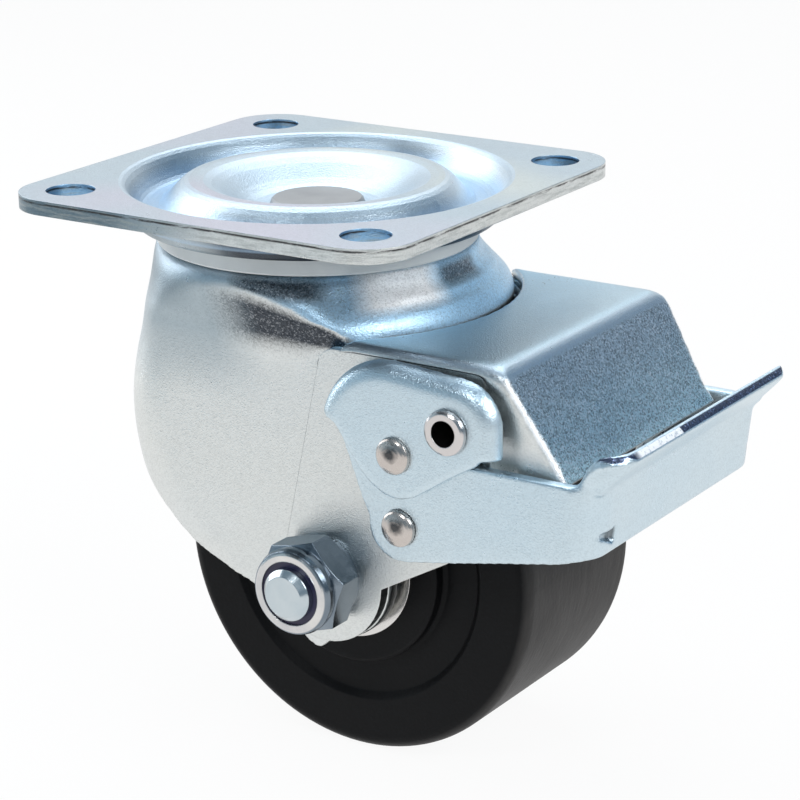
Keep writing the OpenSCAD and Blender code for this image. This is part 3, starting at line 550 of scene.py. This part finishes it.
def nylon():
    """Black moulded nylon: dark faces, and a tread rubbed to a greyish brown with fine scuffs round it."""
    m = Nodes("nylon_wheel")
    x, _, z = m.place()
    tread = m.span(m.from_line(x, z, AXLE_X, AXLE_Z), 44.5, 45.7)
    clouds = m.noise(45.0, 5.0, 0.6)
    scuffs = m.noise(110.0, 4.0, 0.65, m.stretched((1.0, 6.0, 1.0)))
    face = m.mix(clouds, (0.003, 0.003, 0.0035), (0.006, 0.006, 0.0065))
    worn_and_highlit = m.mix(m.span(scuffs, 0.3, 0.75), (0.034, 0.031, 0.030), (0.050, 0.046, 0.043))
    dust = (0.16, 0.14, 0.13)
    specks = m.span(m.noise(900.0, 4.0, 0.7), 0.70, 0.78, 0.0, 0.4)
    base = m.mix(m.product(specks, tread), m.mix(tread, face, worn_and_highlit), dust)
    normal = m.bump(m.noise(1100.0), 0.06, m.rounded(0.6))
    normal = m.bump(scuffs, 0.25, normal, 0.35)
    return m.finish(Base_Color=base, Roughness=m.span(clouds, 0.3, 0.7, 0.42, 0.52),
                    Specular_IOR_Level=0.12, Normal=normal)


looks = {
    "zinc_sheet": zinc_sheet(),
    "zinc_cover": zinc_cover(),
    "zinc_fastener": fastener(),
    "plain_steel": bearing_steel(),
    "kingpin_steel": steel("kingpin_steel", (0.33, 0.34, 0.35), rough=0.5, grain=0.025),
    "ball_steel": steel("ball_steel", (0.74, 0.72, 0.70), rough=0.2, grain=0.02),
    "seal_plastic": plastic("seal_plastic", (0.86, 0.85, 0.82), rough=0.5),
    "nylon_wheel": nylon(),
    "brake_rubber": plastic("brake_rubber", (0.02, 0.02, 0.02), rough=0.75),
    "insert_plastic": plastic("insert_plastic", (0.018, 0.014, 0.055), rough=0.3),
    "rivet_steel": rivet(),
}


def fine_copy(name, extra, step):
    """A copy of a node with the meshes in extra melted into it, on an even grid of small faces."""
    source = nodes[name]
    whole = bmesh.new()
    for mesh in extra:
        whole.from_mesh(mesh)
    bmesh.ops.transform(whole, matrix=source.matrix_world.inverted(), verts=whole.verts)
    whole.from_mesh(source.data)
    joined = bpy.data.meshes.new(name + "_pressed")
    whole.to_mesh(joined)
    whole.free()
    copy = bpy.data.objects.new(name + "_pressed", joined)
    bpy.context.scene.collection.objects.link(copy)
    copy.matrix_world = source.matrix_world.copy()
    fine = copy.modifiers.new("fine", "REMESH")
    fine.mode = "VOXEL"
    fine.voxel_size = step * MM
    fine.adaptivity = 0.0
    bpy.context.view_layer.update()
    mesh = bpy.data.meshes.new_from_object(copy.evaluated_get(bpy.context.evaluated_depsgraph_get()))
    copy.modifiers.clear()
    copy.data = mesh
    return copy


def smooth(mesh, rounds, weight):
    """Moves each vertex towards its neighbours: rounds times by weight, then twice evenly."""
    n = len(mesh.vertices)
    at = np.empty(3 * n)
    mesh.vertices.foreach_get("co", at)
    at = at.reshape(n, 3)
    ends = np.empty(2 * len(mesh.edges), dtype=np.int64)
    mesh.edges.foreach_get("vertices", ends)
    a, b = ends[0::2], ends[1::2]
    count = np.bincount(ends, minlength=n).astype(float)
    pull = weight(at)[:, None]

    def even(points, share):
        sums = [np.bincount(a, points[b, k], n) + np.bincount(b, points[a, k], n) for k in range(3)]
        return points + share * (np.stack(sums, 1) / count[:, None] - points)

    for _ in range(rounds):
        at = even(at, 0.6 * pull)
    for _ in range(2):
        at = even(at, 0.5)
    mesh.vertices.foreach_set("co", at.ravel())
    for polygon in mesh.polygons:
        polygon.use_smooth = True


def pressed(name, body, slot, step, rounds, weight, extra=()):
    """A smoothed copy of a sheet-metal node, as pressing leaves it: the creases named by weight are soft.

    The meshes in extra, given in the frame, are melted into it. The step is in mm.
    """
    copy = fine_copy(name, extra, step)
    smooth(copy.data, rounds, weight)
    copy.data.materials.clear()
    copy.data.materials.append(looks[slot])
    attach(copy, body)
    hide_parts(name)


def rise(value, low, high, least=0.0, most=1.0):
    """0 at low, 1 at high, kept between least and most."""
    return np.clip((value - low) / (high - low), least, most)


def fork_creases(at):
    """1 on the outer shoulder, where the domed head runs into the legs, and 0 on the cut edges."""
    x, y, z = (at / MM).T
    out = rise(np.hypot(x, y), 27.0, 30.0) * rise(z, -12.0, -15.0)
    low = rise(z, -50.0, -42.0)
    side = rise(np.abs(y), 20.0, 26.0)
    rear = rise(x, 22.0, 14.0)
    rings = rise(z, -23.5, -21.5, 0.15, 0.9) * rise(z, -29.0, -27.0)
    return out * low * side * np.maximum(rear, rings)


def hood_bends(at):
    """1 on the hood's bends and faces, low along its cut edges, which stay crisp."""
    x, y, z = (at / MM).T
    foot = rise(z, -49.0, -46.0, 0.1)
    arc = rise(np.hypot(x, y), 47.5, 50.0, 0.1)
    return foot * arc


def pedal_edges(at):
    """0 at the pedal's near notch, which stays crisp, and a half elsewhere."""
    x, y, z = (at / MM).T
    notch = (x > 88.0) & (y < -26.0) & (z > -63.0) & (z < -56.5)
    return np.where(notch, 0.0, 0.5)


def all_alike(at):
    return np.ones(len(at))


def strip(rows):
    """A strip of sheet: each row is a closed section of points in mm, joined to the next row."""
    count = len(rows[0])
    shape = bmesh.new()
    rings = [[shape.verts.new([c * MM for c in point]) for point in row] for row in rows]
    for first, second in zip(rings, rings[1:]):
        for i in range(count):
            j = (i + 1) % count
            shape.faces.new((first[i], first[j], second[j], second[i]))
    shape.faces.new(rings[0])
    shape.faces.new(rings[-1])
    bmesh.ops.recalc_face_normals(shape, faces=shape.faces)
    mesh = bpy.data.meshes.new("strip")
    shape.to_mesh(mesh)
    shape.free()
    return mesh


def lip_end():
    """The flared lip carried round the pedal's near front corner, to run out into the arm's top edge."""
    corner_x, corner_y = 88.9, -PEDAL_CORNER_Y
    foot_r, foot_z = 6.95, -48.4
    sheet, least, flare = 2.9, 0.5, 9.5
    steps, first, sweep = 40, -4.0, 92.0
    fall_from, fall_over = 26.0, 58.0
    flared, upright = 46.0, 90.0
    rows = []
    for k in range(steps + 1):
        angle = first + sweep * k / steps
        fall = min(1.0, max(0.0, (angle - fall_from) / fall_over))
        fall = fall * fall * (3.0 - 2.0 * fall)
        tilt, turn = math.radians(flared + (upright - flared) * fall), math.radians(angle)
        height = least + flare * (1.0 - fall)
        top_r, top_z = foot_r + height * math.cos(tilt), foot_z + height * math.sin(tilt)
        in_r, in_z = -sheet * math.sin(tilt), sheet * math.cos(tilt)
        section = ((foot_r, foot_z), (top_r, top_z),
                   (top_r + in_r, top_z + in_z), (foot_r + in_r, foot_z + in_z))
        rows.append([(corner_x + r * math.cos(turn), corner_y - r * math.sin(turn), z) for r, z in section])
    return strip(rows)


def hood_wing(side):
    """The hood's side wall carried back to the cover plate's rim."""
    rear, skin = 66.0, 1.6
    half, top, lean = 36.9, -25.6, 0.132
    front = ((-29.0, 69.9), (-30.0, 70.8), (-33.0, 73.0), (-36.0, 74.6),
             (-39.0, 75.0), (-42.0, 75.0), (-49.8, 75.5))
    rows = []
    for z, ahead in front:
        outer = half - lean * (top - z)
        inner = outer - skin
        rows.append([(rear, side * outer, z), (ahead, side * outer, z),
                     (ahead, side * inner, z), (rear, side * inner, z)])
    return strip(rows)


def notch_fill():
    """Sheet filling the far front corner's notch: the photo shows only the near one."""
    low, high, sheet = 1.4, 6.6, 2.0
    steps, start, run_length = 24, 27.6, 10.6
    sin, cos = math.sin(PEDAL_LEAN), math.cos(PEDAL_LEAN)
    rows = []
    for k in range(steps + 1):
        run = start + run_length * k / steps
        turn = max(0.0, (run - PEDAL_CORNER_Y) / PEDAL_CORNER_R)
        y = min(run, PEDAL_CORNER_Y) + PEDAL_CORNER_R * math.sin(turn)
        inset = PEDAL_CORNER_R * (1.0 - math.cos(turn))
        row = []
        for proud, above in ((0.0, low), (0.0, high), (-sheet, high), (-sheet, low)):
            ahead = proud * math.cos(turn) - inset
            row.append((PEDAL_FRONT + above * sin + ahead * cos, y + proud * math.sin(turn),
                        PEDAL_FOOT + above * cos - ahead * sin))
        rows.append(row)
    return strip(rows)


slot_of = {part["node"]: part["material_slot"] for part in frame["record"]["subparts"]}
for name, piece in nodes.items():
    piece.data.materials.clear()
    piece.data.materials.append(looks[slot_of[name]])
pressed("fork", "swivel_fork", "zinc_sheet", step=0.7, rounds=90, weight=fork_creases)
pressed("hood", "swivel_fork", "zinc_sheet", step=0.6, rounds=16, weight=hood_bends,
        extra=[hood_wing(-1.0), hood_wing(1.0)])
pressed("pedal", "pedal", slot_of["pedal"], step=0.5, rounds=6, weight=pedal_edges,
        extra=[lip_end(), notch_fill()])
for name in ("cover_plate_near", "cover_plate_far"):
    pressed(name, "swivel_fork", "zinc_cover", step=0.45, rounds=8, weight=all_alike)


def panel(name, place, aim, size, watts):
    """A soft rectangular studio lamp."""
    data = bpy.data.lights.new(name, "AREA")
    data.shape = "RECTANGLE"
    data.size, data.size_y = size
    data.energy = watts
    lamp = bpy.data.objects.new(name, data)
    bpy.context.scene.collection.objects.link(lamp)
    lamp.location = place
    lamp.rotation_mode = "QUATERNION"
    lamp.rotation_quaternion = (Vector(place) - Vector(aim)).to_track_quat("Z", "Y")


def card(name, place, size, colour):
    """A matt card standing round the object, facing it: the dark tones that bright metal shows."""
    m = Nodes(name)
    m.finish(Base_Color=m.mix(m.noise(2.0), colour, shade(colour, 1.3)), Roughness=0.9)
    w, h = size[0] / 2, size[1] / 2
    mesh = bpy.data.meshes.new(name)
    mesh.from_pydata([(-w, -h, 0), (w, -h, 0), (w, h, 0), (-w, h, 0)], [], [(0, 1, 2, 3)])
    mesh.materials.append(m.material)
    board = bpy.data.objects.new(name, mesh)
    bpy.context.scene.collection.objects.link(board)
    board.location = place
    board.rotation_mode = "QUATERNION"
    board.rotation_quaternion = Vector(place).to_track_quat("Z", "Y")


def paper():
    """Pale paper that looks nearly white to the camera and in reflections."""
    m = Nodes("paper")
    m.finish(Base_Color=m.mix(m.noise(3.0), (0.82, 0.82, 0.82), (0.84, 0.84, 0.84)), Roughness=0.9)
    glow = m.tree.nodes.new("ShaderNodeEmission")
    glow.inputs["Strength"].default_value = 1.0
    path = m.tree.nodes.new("ShaderNodeLightPath").outputs
    seen = m.largest(path["Is Camera Ray"], path["Is Glossy Ray"], path["Is Transmission Ray"])
    mixer = m.tree.nodes.new("ShaderNodeMixShader")
    m.link(m.product(seen, 0.93), mixer.inputs["Fac"])
    m.link(m.shader.outputs["BSDF"], mixer.inputs[1])
    m.link(glow.outputs["Emission"], mixer.inputs[2])
    m.link(mixer.outputs["Shader"], m.output.inputs["Surface"])
    return m.material


def backdrop():
    """A floor that curves up behind the object, turned to the camera."""
    floor_z, half, depth, curve, height, steps = -0.1283, 1.6, 1.0, 0.35, 1.5, 12
    profile = [(-half, 0.0)]
    for k in range(steps + 1):
        bend = math.radians(90.0 * k / steps)
        profile.append((depth + curve * math.sin(bend), curve * (1.0 - math.cos(bend))))
    profile.append((depth + curve, height))
    turn = Matrix.Rotation(math.radians(33.0), 4, "Z")
    points = [Vector((side * half, along, floor_z + up)) for along, up in profile for side in (-1.0, 1.0)]
    faces = [(2 * k, 2 * k + 1, 2 * k + 3, 2 * k + 2) for k in range(len(profile) - 1)]
    mesh = bpy.data.meshes.new("backdrop")
    mesh.from_pydata([tuple(turn @ point) for point in points], [], faces)
    for face in mesh.polygons:
        face.use_smooth = True
    mesh.materials.append(paper())
    sheet = bpy.data.objects.new("backdrop", mesh)
    bpy.context.scene.collection.objects.link(sheet)


def room():
    """A dim bluish room behind the studio."""
    world = bpy.data.worlds.new("room")
    bpy.context.scene.world = world
    world.use_nodes = True
    background = world.node_tree.nodes["Background"].inputs
    background["Color"].default_value = (0.20, 0.27, 0.33, 1.0)
    background["Strength"].default_value = 1.0


def studio():
    """Pale floor and curved backdrop, cards, soft lamps, a dim room."""
    backdrop()
    room()
    card("card_right", place=(0.62, 0.95, 0.42), size=(0.9, 0.8), colour=(0.17, 0.27, 0.37))
    card("card_left", place=(-0.62, -0.82, 0.62), size=(0.8, 0.5), colour=(0.03, 0.036, 0.042))
    card("card_low", place=(-0.40, -0.36, 0.06), size=(0.7, 0.34), colour=(0.36, 0.45, 0.50))
    panel("top_lamp", place=(-0.28, 0.34, 0.85), aim=(0.0, 0.0, -0.05), size=(1.1, 0.9), watts=6.5)
    panel("left_lamp", place=(-0.85, -0.05, 0.30), aim=(0.0, 0.0, -0.06), size=(0.4, 0.8), watts=4.0)
    panel("front_lamp", place=(0.08, -0.80, 0.72), aim=(0.0, 0.0, -0.04), size=(0.35, 0.25), watts=2.2)
    panel("right_lamp", place=(0.84, -0.20, 0.54), aim=(0.02, 0.0, -0.06), size=(0.70, 0.45), watts=6.0)


bpy.context.scene.view_settings.view_transform = "Standard"
make_camera()
studio()
